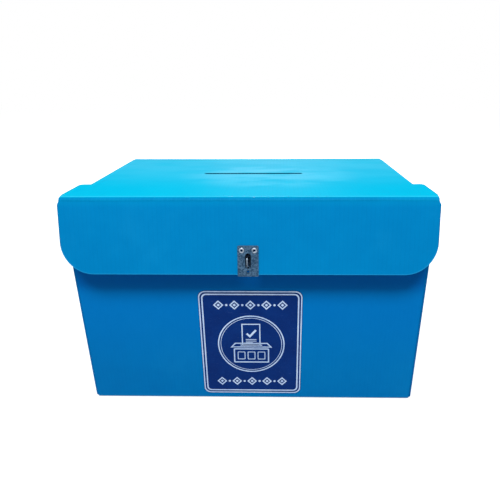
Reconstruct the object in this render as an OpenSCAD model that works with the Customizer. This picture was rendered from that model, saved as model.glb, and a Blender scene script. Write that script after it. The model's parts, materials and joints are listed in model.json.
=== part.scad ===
// Ballot box folded from twin-wall fluted plastic sheet. Four walls with creased corners stand on a tucked
// bottom, and the two side walls are doubled by a hem that is turned in over a round rim. The lid is creased
// to the back wall. It has a posting slot, two shoulders that reach over the rims, two tuck flaps that hang
// inside the hems, and a front flap that leans out and carries a slotted hasp for the staple on the front.
// Origin at the middle of the base. X runs across the front, Y to the back and Z up; the front faces -Y.

/* [Body] */
// Width across the front, outside
body_w = 430; // [360:1:520]
// Depth from front wall to back wall, outside
body_d = 239; // [190:1:300]
// Height to the top of the closed lid
box_h = 284; // [240:1:360]

/* [Sheet] */
// Thickness of the fluted sheet
sheet_t = 4; // [3:0.1:5]
// Thickness of each of its two skins
skin_t = 0.35; // [0.25:0.05:0.6]
// Thickness of the ribs between the skins
rib_t = 0.3; // [0.2:0.05:0.6]
// Distance from one rib to the next
flute_pitch = 5; // [4:0.5:8]
// Thickness that is left where the sheet is pressed into a fold
crush_t = 1.2; // [0.8:0.1:2]
// Gap between a crease and the panel that swings on it
crease_gap = 0.35; // [0.3:0.01:0.5]

/* [Walls] */
// How far the hem of a side wall is turned down inside
hem_drop = 90; // [60:1:140]
// Air between a side wall and its hem
hem_air = 1.5; // [1:0.1:3]
// How far the side walls' rims stay below the front wall's upper edge
rim_drop = 4.5; // [0:0.5:8]
// Clearance between the end of a folded-in panel and the wall that it meets
end_gap = 1; // [0.5:0.1:2]
// Gap between the front wall's upper edge and the closed lid
lid_gap = 0.3; // [0.3:0.05:1]
// Width of the seam flap that joins the left wall to the back wall
seam_w = 35; // [25:1:50]

/* [Bottom] */
// Length of the side walls' bottom flaps
dust_l = 100; // [60:1:120]
// Cut-back of their free corners
dust_taper = 10; // [2:1:25]
// How far the bottom's edges stand in from the walls' outer faces
bottom_inset = 2; // [1:0.5:3]
// Height of the flap that tucks up inside the back wall
bottom_tuck_h = 40; // [25:1:70]
// Distance of its ends from the side walls' outer faces
bottom_tuck_inset = 45; // [42:1:80]
// Cut-back of its free corners
bottom_tuck_taper = 14; // [2:1:20]

/* [Lid] */
// How far the shoulders reach back from the front crease
shoulder_l = 63; // [40:1:90]
// Radius of a shoulder's rear corner
shoulder_r = 5; // [2:0.5:8]
// Length of the relief cut at each end of the front crease
relief_l = 9; // [4:1:14]
// Depth of that relief cut
relief_w = 2; // [1:0.5:3]
// Height of the tuck flaps
tuck_h = 60; // [40:1:85]
// Clearance between a tuck flap and the hem beside it
tuck_gap = 1; // [0.5:0.1:2]
// Distance of a tuck flap from the shoulder in front of it and from the seam flap behind it
tuck_end = 4; // [3:0.5:10]
// Radius of the tuck flaps' lower corners
tuck_r = 22; // [8:1:30]
// Length of the posting slot
slot_l = 136; // [100:1:180]
// Width of the posting slot
slot_w = 7; // [6:0.5:12]
// Distance of the posting slot's middle from the front crease
slot_back = 126; // [90:1:150]

/* [Front flap] */
// Height of the front flap, from the top of its crease
flap_h = 88.5; // [80:0.5:110]
// Radius of its lower corners
flap_r = 37; // [20:1:42]
// Height of the slanting cut at its upper corners
flap_relief_h = 4; // [1:0.5:8]
// Angle by which it leans out at rest
flap_lean = 12; // [8:1:16]
// Angle that is left when it is pressed home
flap_home = 2.5; // [2:0.1:4]
// Clearance between the flap, hanging upright, and the front wall
flap_gap = 0.5; // [0.4:0.1:1]

/* [Hasp] */
// Width of the hasp plate
hasp_w = 24; // [22:1:32]
// Height of the hasp plate
hasp_h = 36; // [34:1:40]
// Thickness of the hasp plate
hasp_t = 1.2; // [0.8:0.1:2]
// Radius of the plate's corners
hasp_r = 1.5; // [0.5:0.1:2.5]
// Distance from the top of the front crease to the top of the plate
hasp_drop = 54.5; // [46:0.5:60]
// Distance between its two rivets
rivet_gap = 14.5; // [13:0.5:16]
// Distance of the rivets below the top of the plate
rivet_drop = 5.5; // [5:0.1:6]
// Width of the slot for the staple
hasp_slot_w = 6.5; // [5.5:0.1:8]
// Length of that slot
hasp_slot_l = 18.3; // [16:0.1:20]
// Distance of the slot's middle below the top of the plate
hasp_slot_drop = 18.1; // [17.5:0.1:19]
// Radius of the small seal hole under the slot
seal_r = 1.5; // [1:0.1:2]
// Distance of the seal hole below the top of the plate
seal_drop = 30; // [29.5:0.1:31]
// Margin of the window in the flap around the plate's slot
window_margin = 1.5; // [1:0.1:2]

/* [Staple] */
// Sideways place of the staple's blade
staple_x = -1.5; // [-2:0.1:2]
// Distance of the staple's middle below the top of the lid
staple_drop = 74.5; // [70:0.5:78]
// Thickness of the blade
blade_t = 1.2; // [0.8:0.1:2]
// Height of the blade
blade_h = 12; // [10:0.5:14]
// Radius of the eye for the padlock
eye_r = 3; // [2:0.1:3.5]
// Metal between the eye and the blade's tip
eye_wall = 1.8; // [1.5:0.1:3]
// Play between the pressed plate and the eye
eye_play = 0.3; // [0.2:0.1:1]
// Radius of the blade's outer corners
blade_r = 2.5; // [1:0.1:4]
// Width of the staple's foot plate
foot_w = 10; // [9:0.5:10]
// Height of the foot plate
foot_h = 34; // [30:1:40]
// Thickness of the foot plate
foot_t = 1.2; // [0.8:0.1:1.6]
// Distance between the foot's two rivets
foot_rivet_gap = 25; // [22:0.5:27]

/* [Rivets] */
// Radius of a rivet's head
head_r = 3.2; // [2.8:0.1:3.4]
// Height of a hasp rivet's head
head_h = 1.2; // [0.8:0.1:1.6]
// Height of a staple rivet's flat head
flat_head_h = 0.8; // [0.5:0.1:1]
// Radius of a rivet's shank
shank_r = 2; // [1.6:0.1:2.2]
// Radius of the hollow in a rivet
hollow_r = 1.25; // [0.8:0.05:1.4]
// Radius of the set end behind the washer
set_r = 2.6; // [2.4:0.1:2.8]
// Thickness of the set end
set_h = 1; // [0.6:0.1:1.2]
// Radius of a washer
washer_r = 4.5; // [4:0.1:4.8]
// Thickness of a washer
washer_t = 0.8; // [0.5:0.1:1]
// Clearance around a shank
shank_play = 0.05; // [0.02:0.01:0.1]

/* [Label] */
// Width of the label on the front
label_w = 130; // [90:1:160]
// Height of the label
label_h = 156; // [100:1:160]
// Thickness of the label
label_t = 0.3; // [0.2:0.05:0.5]
// Radius of the label's corners
label_r = 9; // [3:1:20]
// Height of the label's lower edge above the base
label_z = 9; // [5:1:15]

/* [Hidden] */
$fn = 48;

sheet_blue = [0.02, 0.47, 0.76];
lid_blue = [0.12, 0.78, 0.94];
fold_blue = [0.05, 0.55, 0.84];
zinc = [0.32, 0.40, 0.47];
bright_zinc = [0.74, 0.79, 0.83];
navy = [0.07, 0.14, 0.40];

// Faces and corners of the body
half_w = body_w / 2;
half_d = body_d / 2;
in_x = half_w - sheet_t;
in_y = half_d - sheet_t;
lid_under = box_h - sheet_t;
wall_top = lid_under - lid_gap;
// A wall that stands behind another one, such as the seam flap and the bottom's tuck flap
second_y = in_y - sheet_t;
// The rim is a half round over the side wall and its hem
rim_r = sheet_t + hem_air / 2;
rim_x = in_x - hem_air / 2;
rim_z = wall_top - rim_drop - rim_r;
hem_x = in_x - hem_air - sheet_t;
hem_front = -in_y + end_gap;
hem_back = second_y - end_gap;
bottom_tuck_w = body_w - 2 * bottom_tuck_inset;
// The tuck flaps hang inside the hems, and the lid's rear part is as wide as they allow
tuck_x = hem_x - tuck_gap;
lid_half = tuck_x - sheet_t;
// The back wall's upper corners slant from the lid's crease down to the rims
slant_x = lid_half + end_gap;
// A crease's flat length is the quarter round of its outer skin, so its axis lies half of that from the corner
axis_in = PI * sheet_t / 4;
flap_y = -half_d - flap_gap;
flap_axis = [0, flap_y - axis_in, lid_under + axis_in];
flap_top = lid_under - crease_gap;
flap_low = box_h - flap_h;
shoulder_y = flap_y - sheet_t + shoulder_l;
tuck_front = shoulder_y + tuck_end;
tuck_back = second_y - tuck_end;
tuck_l = tuck_back - tuck_front;
lid_back = in_y - crease_gap;
slot_y = flap_y - sheet_t + slot_back;
// Heights on the flap, as it hangs upright
hasp_top = box_h - hasp_drop;
hasp_face = flap_y - sheet_t;
// The eye comes clear of the plate when the flap is pressed home
staple_z = box_h - staple_drop;
plate_reach = flap_gap + (staple_drop + blade_h / 2) * sin(flap_home) + sheet_t + hasp_t;
eye_reach = plate_reach + eye_play + eye_r;
blade_reach = eye_reach + eye_r + eye_wall;
// Overlap of cutting shapes past the faces that they cut
cut = 1;

// Flat twin-wall sheet. Its flutes run along Y, and both edges beside them are closed.
module sheet(across, along) {
    cells = floor((across - 2 * rib_t) / flute_pitch);
    first = (across - cells * flute_pitch + rib_t) / 2;
    translate([0, along, 0]) rotate([90, 0, 0]) linear_extrude(along) difference() {
        square([across, sheet_t]);
        for (i = [0 : cells - 1])
            translate([first + i * flute_pitch, skin_t]) square([flute_pitch - rib_t, sheet_t - 2 * skin_t]);
    }
}

// Sheet with its flutes along X
module sheet_along_x(along, across) {
    translate([0, across, 0]) rotate([0, 0, -90]) sheet(across, along);
}

// Sheet that stands across the box with upright flutes, its front face one thickness before Y = 0
module standing_across(across, up) {
    rotate([90, 0, 0]) sheet(across, up);
}

// Sheet that stands along the box with upright flutes, from X = 0 outwards
module standing_along(across, up) {
    rotate([90, 0, 90]) sheet(across, up);
}

// A cut through a sheet's thickness
module through() {
    translate([0, 0, -cut]) linear_extrude(sheet_t + 2 * cut) children();
}

// Waste outside a round corner at the origin, with the sheet towards +X and +Y
module corner_waste(r) {
    difference() {
        translate([-cut, -cut]) square(r + cut);
        translate([r, r]) circle(r);
    }
}

// Waste beyond a slanting corner at the origin, with the sheet towards +X and +Y
module slant_waste(x, y) {
    polygon([[-cut, -cut], [x, -cut], [x, 0], [0, y], [-cut, y]]);
}

// Slot with round ends, upright on the page
module long_slot(l, w) {
    square([w, l - w], center = true);
    for (side = [-1, 1]) translate([0, side * (l - w) / 2]) circle(d = w);
}

module round_rectangle(w, h, r) {
    square([w - 2 * r, h], center = true);
    square([w, h - 2 * r], center = true);
    for (x = [-1, 1], y = [-1, 1]) translate([x * (w / 2 - r), y * (h / 2 - r)]) circle(r);
}

// Quarter of a fold's section, round its inner corner, towards +X and +Y
module fold_section(r) {
    intersection() {
        difference() {
            circle(r);
            circle(r - crush_t);
        }
        square(r + cut);
    }
}

module fold_along_x(l, r = sheet_t) {
    rotate([90, 0, 90]) linear_extrude(l) fold_section(r);
}

module fold_along_y(l, r = sheet_t) {
    translate([0, l, 0]) rotate([90, 0, 0]) linear_extrude(l) fold_section(r);
}

module fold_up(l, r = sheet_t) {
    linear_extrude(l) fold_section(r);
}

module mirror_if(flip) {
    mirror([flip ? 1 : 0, 0, 0]) children();
}

// Walls

module front_panel() {
    color(sheet_blue) difference() {
        translate([-in_x, -in_y, sheet_t]) standing_across(2 * in_x, wall_top - sheet_t);
        at_staple_rivets() cylinder(h = 2 * (sheet_t + cut), r = shank_r + shank_play, center = true);
    }
}

// Waste over a wall's slanting upper corner, with the wall towards +X and downwards
module upper_corner_waste(edge_x, top) {
    mirror([0, 1]) slant_waste(edge_x - slant_x, top - rim_z);
}

module back_panel() {
    w = half_w + in_x;
    color(sheet_blue) translate([-half_w, half_d, 0]) rotate([90, 0, 0]) difference() {
        sheet(w, lid_under);
        translate([0, lid_under, 0]) through() upper_corner_waste(half_w, lid_under);
        translate([w, lid_under, 0]) mirror([1, 0, 0]) through() upper_corner_waste(in_x, lid_under);
    }
}

module side_panel(back_y) {
    color(sheet_blue) translate([in_x, -in_y, 2 * sheet_t]) standing_along(back_y + in_y, rim_z - 2 * sheet_t);
}

module left_panel() mirror_if(true) side_panel(second_y);
module right_panel() side_panel(in_y);

// A corner's crease ends where the side wall turns over into its rim
module corner_fold(x, y, flip_x, flip_y) {
    color(fold_blue) translate([x, y, sheet_t]) mirror([flip_x ? 1 : 0, 0, 0])
        mirror([0, flip_y ? 1 : 0, 0]) fold_up(rim_z - sheet_t);
}

module front_left_fold() corner_fold(-in_x, -in_y, true, true);
module front_right_fold() corner_fold(in_x, -in_y, false, true);
module back_right_fold() corner_fold(in_x, in_y, false, false);
module seam_fold() corner_fold(-in_x, second_y, true, false);

// The left wall's own strip, welded to the inside of the back wall
module seam_flap() {
    up = wall_top - 2 * sheet_t;
    color(sheet_blue) translate([-in_x, in_y, 2 * sheet_t]) rotate([90, 0, 0]) difference() {
        sheet(seam_w, up);
        translate([0, up, 0]) through() upper_corner_waste(in_x, wall_top);
    }
}

// Bottom

module bottom_panel() {
    w = body_w - 2 * bottom_inset;
    color(sheet_blue) translate([-w / 2, -in_y, 0]) sheet(w, second_y + in_y);
}

module bottom_front_fold() {
    color(fold_blue) translate([-in_x, -in_y, sheet_t]) mirror([0, 1, 0]) mirror([0, 0, 1]) fold_along_x(2 * in_x);
}

module bottom_back_fold() {
    color(fold_blue) translate([-bottom_tuck_w / 2, second_y, sheet_t]) mirror([0, 0, 1]) fold_along_x(bottom_tuck_w);
}

module bottom_tuck_flap() {
    color(sheet_blue) translate([-bottom_tuck_w / 2, in_y, sheet_t]) rotate([90, 0, 0]) difference() {
        sheet(bottom_tuck_w, bottom_tuck_h);
        for (side = [0, 1]) translate([side * bottom_tuck_w, bottom_tuck_h, 0]) mirror([side, 0, 0])
            mirror([0, 1, 0]) through() slant_waste(bottom_tuck_taper, bottom_tuck_h - 2 * sheet_t);
    }
}

module dust_flap() {
    w = hem_back - hem_front;
    color(sheet_blue) translate([in_x - dust_l, hem_front, sheet_t]) difference() {
        sheet_along_x(dust_l, w);
        for (side = [0, 1]) translate([0, side * w, 0]) mirror([0, side, 0])
            through() slant_waste(dust_l / 2, dust_taper);
    }
}

module left_dust_flap() mirror_if(true) dust_flap();
module right_dust_flap() dust_flap();

module dust_fold() {
    color(fold_blue) translate([in_x, hem_front, 2 * sheet_t]) mirror([0, 0, 1]) fold_along_y(hem_back - hem_front);
}

module left_dust_fold() mirror_if(true) dust_fold();
module right_dust_fold() dust_fold();

// Rims and hems

module rim() {
    color(fold_blue) translate([rim_x, hem_front, rim_z]) for (inner = [false, true])
        mirror_if(inner) fold_along_y(hem_back - hem_front, rim_r);
}

module left_rim() mirror_if(true) rim();
module right_rim() rim();

module hem() {
    color(sheet_blue) translate([hem_x, hem_front, rim_z - hem_drop]) standing_along(hem_back - hem_front, hem_drop);
}

module left_hem() mirror_if(true) hem();
module right_hem() hem();

// Lid

module lid_crease() {
    color(fold_blue) translate([-lid_half, in_y, lid_under]) fold_along_x(2 * lid_half);
}

// Side of the wide front part beside the tuck flap, and the relief cut at the end of the front crease
module lid_side_waste() {
    depth = shoulder_y - flap_y;
    waste_w = half_w - lid_half;
    translate([-cut, depth]) square([waste_w + cut, lid_back - shoulder_y + cut]);
    translate([0, depth]) mirror([0, 1]) corner_waste(shoulder_r);
    slant_waste(relief_w, relief_l);
}

module lid_panel() {
    color(lid_blue) translate([-half_w, flap_y, lid_under]) difference() {
        sheet(body_w, lid_back - flap_y);
        for (side = [0, 1]) translate([side * body_w, 0, 0]) mirror([side, 0, 0]) through() lid_side_waste();
        translate([half_w, slot_y - flap_y, 0]) through() rotate(90) long_slot(slot_l, slot_w);
    }
}

module flap_crease() {
    w = body_w - 2 * relief_w;
    color(fold_blue) translate([-w / 2, flap_y, lid_under]) mirror([0, 1, 0]) fold_along_x(w);
}

module tuck_crease() {
    color(fold_blue) translate([lid_half, tuck_front, lid_under]) fold_along_y(tuck_l);
}

module left_tuck_crease() mirror_if(true) tuck_crease();
module right_tuck_crease() tuck_crease();

module tuck_flap() {
    color(sheet_blue) translate([tuck_x, tuck_front, flap_top - tuck_h]) rotate([0, -90, 0]) difference() {
        sheet(tuck_h, tuck_l);
        for (side = [0, 1]) translate([0, side * tuck_l, 0]) mirror([0, side, 0]) through() corner_waste(tuck_r);
    }
}

module left_tuck_flap() mirror_if(true) tuck_flap();
module right_tuck_flap() tuck_flap();

// Front flap and hasp. They are drawn hanging upright, then leant out about the crease's axis.

module leant_out() {
    translate(flap_axis) rotate([-flap_lean, 0, 0]) translate(-flap_axis) children();
}

// Places on the hasp plate, with +Z out of the plate's front
module on_hasp(x, drop) {
    translate([x, hasp_face, hasp_top - drop]) rotate([90, 0, 0]) children();
}

module at_hasp_rivets() {
    for (side = [-1, 1]) on_hasp(side * rivet_gap / 2, rivet_drop) children();
}

module front_flap() {
    up = flap_top - flap_low;
    color(sheet_blue) leant_out() difference() {
        translate([-half_w, flap_y, flap_low]) rotate([90, 0, 0]) difference() {
            sheet(body_w, up);
            for (side = [0, 1]) translate([side * body_w, 0, 0]) mirror([side, 0, 0]) {
                through() corner_waste(flap_r);
                translate([0, up, 0]) mirror([0, 1, 0]) through() slant_waste(relief_w, flap_relief_h);
            }
        }
        on_hasp(0, hasp_slot_drop) linear_extrude(2 * (sheet_t + cut), center = true)
            long_slot(hasp_slot_l + 2 * window_margin, hasp_slot_w + 2 * window_margin);
        on_hasp(0, seal_drop) cylinder(h = 2 * (sheet_t + cut), r = seal_r + window_margin / 2, center = true);
        at_hasp_rivets() cylinder(h = 2 * (sheet_t + cut), r = shank_r + shank_play, center = true);
    }
}

module hasp_plate() {
    color(zinc) leant_out() difference() {
        on_hasp(0, hasp_h / 2) linear_extrude(hasp_t) round_rectangle(hasp_w, hasp_h, hasp_r);
        on_hasp(0, hasp_slot_drop) linear_extrude(2 * (hasp_t + cut), center = true)
            long_slot(hasp_slot_l, hasp_slot_w);
        on_hasp(0, seal_drop) cylinder(h = 2 * (hasp_t + cut), r = seal_r, center = true);
        at_hasp_rivets() cylinder(h = 2 * (hasp_t + cut), r = shank_r + shank_play, center = true);
    }
}

// Hollow rivet with its head above Z = 0, and its set end below the pieces that it grips
module rivet(grip, height) {
    difference() {
        union() {
            cylinder(h = height, r1 = head_r, r2 = head_r - height);
            translate([0, 0, -grip - set_h]) cylinder(h = grip + set_h, r = shank_r);
            translate([0, 0, -grip - set_h]) cylinder(h = set_h, r1 = set_r - set_h / 2, r2 = set_r);
        }
        translate([0, 0, -grip - set_h - cut]) cylinder(h = grip + set_h + height + 2 * cut, r = hollow_r);
    }
}

module washer() {
    difference() {
        cylinder(h = washer_t, r = washer_r);
        translate([0, 0, -cut]) cylinder(h = washer_t + 2 * cut, r = shank_r + shank_play);
    }
}

module hasp_rivets() {
    color(bright_zinc) leant_out() at_hasp_rivets() translate([0, 0, hasp_t])
        rivet(hasp_t + sheet_t + washer_t, head_h);
}

module hasp_washers() {
    color(zinc) leant_out() at_hasp_rivets() translate([0, 0, -sheet_t - washer_t]) washer();
}

// Staple on the front wall

// Places on the front wall's face, with +Z out of it
module on_front(x, z) {
    translate([x, -half_d, z]) rotate([90, 0, 0]) children();
}

module at_staple_rivets() {
    for (side = [-1, 1]) on_front(staple_x, staple_z + side * foot_rivet_gap / 2) children();
}

// Side view of the blade, reaching out along +X from the wall
module blade_outline() {
    difference() {
        union() {
            translate([0, -blade_h / 2]) square([blade_reach - blade_r, blade_h]);
            translate([0, -blade_h / 2 + blade_r]) square([blade_reach, blade_h - 2 * blade_r]);
            for (side = [-1, 1]) translate([blade_reach - blade_r, side * (blade_h / 2 - blade_r)]) circle(blade_r);
        }
        translate([eye_reach, 0]) circle(eye_r);
    }
}

module staple() {
    color(bright_zinc) difference() {
        union() {
            on_front(staple_x, staple_z) linear_extrude(foot_t) round_rectangle(foot_w, foot_h, hasp_r);
            on_front(staple_x, staple_z) rotate([0, -90, 0]) linear_extrude(blade_t, center = true) blade_outline();
        }
        at_staple_rivets() cylinder(h = 2 * (foot_t + cut), r = shank_r + shank_play, center = true);
    }
}

module staple_rivets() {
    color(bright_zinc) at_staple_rivets() translate([0, 0, foot_t]) rivet(foot_t + sheet_t + washer_t, flat_head_h);
}

module staple_washers() {
    color(zinc) at_staple_rivets() translate([0, 0, -sheet_t - washer_t]) washer();
}

module label() {
    color(navy) on_front(0, label_z + label_h / 2) linear_extrude(label_t) round_rectangle(label_w, label_h, label_r);
}

front_panel();
back_panel();
left_panel();
right_panel();
front_left_fold();
front_right_fold();
back_right_fold();
seam_fold();
seam_flap();
bottom_panel();
bottom_front_fold();
bottom_back_fold();
bottom_tuck_flap();
left_dust_flap();
right_dust_flap();
left_dust_fold();
right_dust_fold();
left_rim();
right_rim();
left_hem();
right_hem();
lid_crease();
lid_panel();
flap_crease();
left_tuck_crease();
right_tuck_crease();
left_tuck_flap();
right_tuck_flap();
front_flap();
hasp_plate();
hasp_rivets();
hasp_washers();
staple();
staple_rivets();
staple_washers();
label();
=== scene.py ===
# %% [markdown]
# # A ballot box of fluted plastic sheet
# The box is folded from one kind of sheet: two thin blue skins with ribs between them, four millimetres
# thick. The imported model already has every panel, fold and rivet at its real size. This lesson gives them
# their looks: how blue plastic takes light, how its ribs show through, what creases and cut edges do, and
# how zinc ages.

# %% Load the frame
import json
import math

import bmesh
import bpy
from mathutils import Matrix, Vector


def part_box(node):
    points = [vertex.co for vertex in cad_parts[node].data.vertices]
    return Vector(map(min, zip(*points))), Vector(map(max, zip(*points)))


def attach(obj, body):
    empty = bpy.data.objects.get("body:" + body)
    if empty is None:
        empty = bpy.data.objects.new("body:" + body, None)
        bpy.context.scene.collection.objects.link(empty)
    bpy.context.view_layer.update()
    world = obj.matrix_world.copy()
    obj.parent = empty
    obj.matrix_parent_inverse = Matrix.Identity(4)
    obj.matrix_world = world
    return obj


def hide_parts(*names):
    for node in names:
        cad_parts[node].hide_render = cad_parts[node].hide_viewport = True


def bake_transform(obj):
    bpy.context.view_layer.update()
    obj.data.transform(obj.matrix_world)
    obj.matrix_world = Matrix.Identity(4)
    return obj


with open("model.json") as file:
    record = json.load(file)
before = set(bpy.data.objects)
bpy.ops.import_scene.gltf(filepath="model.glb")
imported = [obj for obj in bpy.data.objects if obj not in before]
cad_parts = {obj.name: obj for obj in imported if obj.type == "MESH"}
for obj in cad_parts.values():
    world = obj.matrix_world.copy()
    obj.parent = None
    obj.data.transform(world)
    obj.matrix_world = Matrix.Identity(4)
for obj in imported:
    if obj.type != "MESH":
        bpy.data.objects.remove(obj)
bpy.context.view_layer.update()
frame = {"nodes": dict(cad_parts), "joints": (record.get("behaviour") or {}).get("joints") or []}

nodes = frame["nodes"]
mm = 0.001
print("nodes in the frame:", len(nodes))

# %% [markdown]
# ## The camera
# A camera is a place, three turns and a focal length. These were found by matching the corners of the
# modelled box to the same corners in the picture, which is 500 pixels wide. The lens looks a little to the
# side of the picture's middle, as after cropping, and a small shift says so. The camera stands close, so
# near edges look much larger.

# %% Camera
PICTURE_PX = 500
FOCAL_PX = 421.1
PRINCIPAL_PX = (269.0, 241.2)
SENSOR_MM = 36
camera_place = Vector((32.2, -578.0, 408.2)) * mm
yaw, pitch, roll = (math.radians(angle) for angle in (-1.07, 21.23, 0.32))

ahead = Vector((math.sin(yaw) * math.cos(pitch), math.cos(yaw) * math.cos(pitch), -math.sin(pitch)))
level = Vector((math.cos(yaw), -math.sin(yaw), 0))
below = ahead.cross(level)
to_right = math.cos(roll) * level + math.sin(roll) * below
to_top = math.sin(roll) * level - math.cos(roll) * below

camera_data = bpy.data.cameras.new("camera")
camera_data.sensor_width = SENSOR_MM
camera_data.lens = FOCAL_PX / PICTURE_PX * SENSOR_MM
camera_data.shift_x = (PICTURE_PX / 2 - PRINCIPAL_PX[0]) / PICTURE_PX
camera_data.shift_y = (PRINCIPAL_PX[1] - PICTURE_PX / 2) / PICTURE_PX
camera = bpy.data.objects.new("camera", camera_data)
bpy.context.scene.collection.objects.link(camera)
turn = Matrix((to_right, to_top, -ahead)).transposed().to_4x4()
camera.matrix_world = Matrix.Translation(camera_place) @ turn
bpy.context.scene.camera = camera
print("lens", round(camera_data.lens, 2), "mm")

# %% [markdown]
# ## Joining shader nodes
# A shader formula is a small drawing of boxes and wires. Placing each box by hand hides the idea, so this
# helper adds a node, fills its sockets with numbers or wires, and hands back the socket that comes out.
# After that a formula reads like a formula. It serves materials and node groups alike.

# %% A helper for shader trees
class Wiring:
    def __init__(self, tree):
        self.tree = tree

    def node(self, kind, values=(), **settings):
        made = self.tree.nodes.new(kind)
        for name, value in settings.items():
            setattr(made, name, value)
        for name, value in dict(values).items():
            self.put(made.inputs[name], value)
        return made

    def put(self, socket, value):
        if isinstance(value, bpy.types.NodeSocket):
            self.tree.links.new(value, socket)
        else:
            socket.default_value = value

    def math(self, operation, *values):
        made = self.node("ShaderNodeMath", operation=operation)
        for place, value in enumerate(values):
            self.put(made.inputs[place], value)
        return made.outputs[0]

    def square_sum(self, a, b):
        return self.math("ADD", self.math("MULTIPLY", a, a), self.math("MULTIPLY", b, b))

    def length(self, a, b):
        return self.math("SQRT", self.square_sum(a, b))

    def ramp(self, value, low, high, start=0.0, end=1.0):
        made = self.node("ShaderNodeMapRange", interpolation_type="SMOOTHSTEP", clamp=True)
        names = ("Value", "From Min", "From Max", "To Min", "To Max")
        for name, number in zip(names, (value, low, high, start, end)):
            self.put(made.inputs[name], number)
        return made.outputs["Result"]

    def blend(self, share, colour_a, colour_b):
        """A Mix node has sockets for numbers, vectors and colours. Its colours are inputs 6 and 7."""
        made = self.node("ShaderNodeMix", data_type="RGBA")
        for place, value in ((0, share), (6, colour_a), (7, colour_b)):
            self.put(made.inputs[place], value)
        return made.outputs[2]

    def noise(self, vector, scale, detail=2.0, roughness=0.5):
        values = {"Vector": vector, "Scale": scale, "Detail": detail, "Roughness": roughness}
        return self.node("ShaderNodeTexNoise", values).outputs[0]

    def stretched(self, vector, scale):
        made = self.node("ShaderNodeMapping", {"Vector": vector})
        made.inputs["Scale"].default_value = scale
        return made.outputs[0]

    def split(self, vector):
        return self.node("ShaderNodeSeparateXYZ", {"Vector": vector}).outputs


# %% [markdown]
# A node group is a formula that is built once and used by many materials, each with values of its own. Two
# small helpers do that: one makes a group with named sockets, and the other places it in a tree.

# %% Helpers for node groups
def new_group(name, takes, gives):
    """A node group with named sockets: takes and gives map a socket's name to FLOAT or VECTOR."""
    tree = bpy.data.node_groups.new(name, "ShaderNodeTree")
    kinds = {"FLOAT": "NodeSocketFloat", "VECTOR": "NodeSocketVector"}
    for socket, kind in takes.items():
        tree.interface.new_socket(name=socket, in_out="INPUT", socket_type=kinds[kind])
    for socket, kind in gives.items():
        tree.interface.new_socket(name=socket, in_out="OUTPUT", socket_type=kinds[kind])
    inside = tree.nodes.new("NodeGroupInput").outputs
    outside = tree.nodes.new("NodeGroupOutput").inputs
    print("group", name)
    return tree, Wiring(tree), inside, outside


def place(wiring, tree, values):
    """One use of a group, with its own values. Returns its outputs."""
    used = wiring.node("ShaderNodeGroup")
    used.node_tree = tree
    for name, value in values.items():
        wiring.put(used.inputs[name], value)
    return used.outputs


# %% [markdown]
# ## Ribs that show through
# Fluted sheet is hollow. Where a rib meets the skin the plastic is thicker, so it looks a little deeper in
# colour, and the skin sags by a hair between two ribs. The group takes one coordinate across the flutes, in
# metres, and repeats it every five millimetres. A noise lets each rib wander a little. The group gives a
# mask for the ribs and a height for the bump, no colours of its own.

# %% Group: fluted skin
RIB_PITCH = 5 * mm
WANDER = 0.6 * mm
WANDER_SCALE = 30.0
# The noise is one half on average, so half of the wander is taken off the middle of the pitch again.
MIDDLE = 0.5 - 0.5 * WANDER / RIB_PITCH

fluted_skin, w, takes, gives = new_group(
    "fluted skin", {"Across": "FLOAT", "First Rib": "FLOAT", "Wander": "VECTOR"},
    {"Rib": "FLOAT", "Height": "FLOAT"})
shaky = w.math("MULTIPLY_ADD", w.noise(takes["Wander"], WANDER_SCALE), WANDER, takes["Across"])
turns = w.math("DIVIDE", w.math("SUBTRACT", shaky, takes["First Rib"]), RIB_PITCH)
nearness = w.math("ABSOLUTE", w.math("SUBTRACT", w.math("FRACT", w.math("ADD", turns, MIDDLE)), 0.5))
w.put(gives["Rib"], w.ramp(nearness, 0.02, 0.15, 1.0, 0.0))
w.put(gives["Height"], w.ramp(nearness, 0.0, 0.4))

# %% [markdown]
# ## Uneven plastic
# No moulded or extruded skin is one flat colour. Two noises of very different size, one as wide as a hand
# and one as wide as a fingertip, are added into a value around one half. Materials use it to move between
# two close blues and to vary the roughness.

# %% Group: uneven plastic
FINER = 9.0
FINE_SHARE = 0.3

uneven, w, takes, gives = new_group(
    "uneven plastic", {"Place": "VECTOR", "Size": "FLOAT"}, {"Value": "FLOAT"})
wide = w.noise(takes["Place"], w.math("DIVIDE", 1.0, takes["Size"]), 3.0, 0.55)
close = w.noise(takes["Place"], w.math("DIVIDE", FINER, takes["Size"]), 2.0, 0.5)
w.put(gives["Value"], w.math("MULTIPLY_ADD", close, FINE_SHARE, w.math("MULTIPLY", wide, 1 - FINE_SHARE)))

# %% [markdown]
# ## Scuffs and rubbed places
# A box that is carried about gets fine pale scratches and dull, rubbed clouds. A scratch is a noise that is
# drawn out long in one direction, cut off near its top. A cloud is a soft noise cut off lower down. Both are
# masks, so each material decides how strongly they show.

# %% Group: scuffs
SIDEWAYS, UPWARDS = (12.0, 190.0, 190.0), (230.0, 16.0, 60.0)
CLOUD_SCALE = 14.0

scuffs, w, takes, gives = new_group("scuffs", {"Place": "VECTOR"}, {"Scratches": "FLOAT", "Clouds": "FLOAT"})
one_way = w.noise(w.stretched(takes["Place"], SIDEWAYS), 6.0, 3.0, 0.7)
other_way = w.noise(w.stretched(takes["Place"], UPWARDS), 5.0, 3.0, 0.7)
lines = w.math("MAXIMUM", w.ramp(one_way, 0.66, 0.74), w.ramp(other_way, 0.67, 0.75))
w.put(gives["Scratches"], lines)
w.put(gives["Clouds"], w.ramp(w.noise(takes["Place"], CLOUD_SCALE, 5.0, 0.6), 0.5, 0.75))

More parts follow.
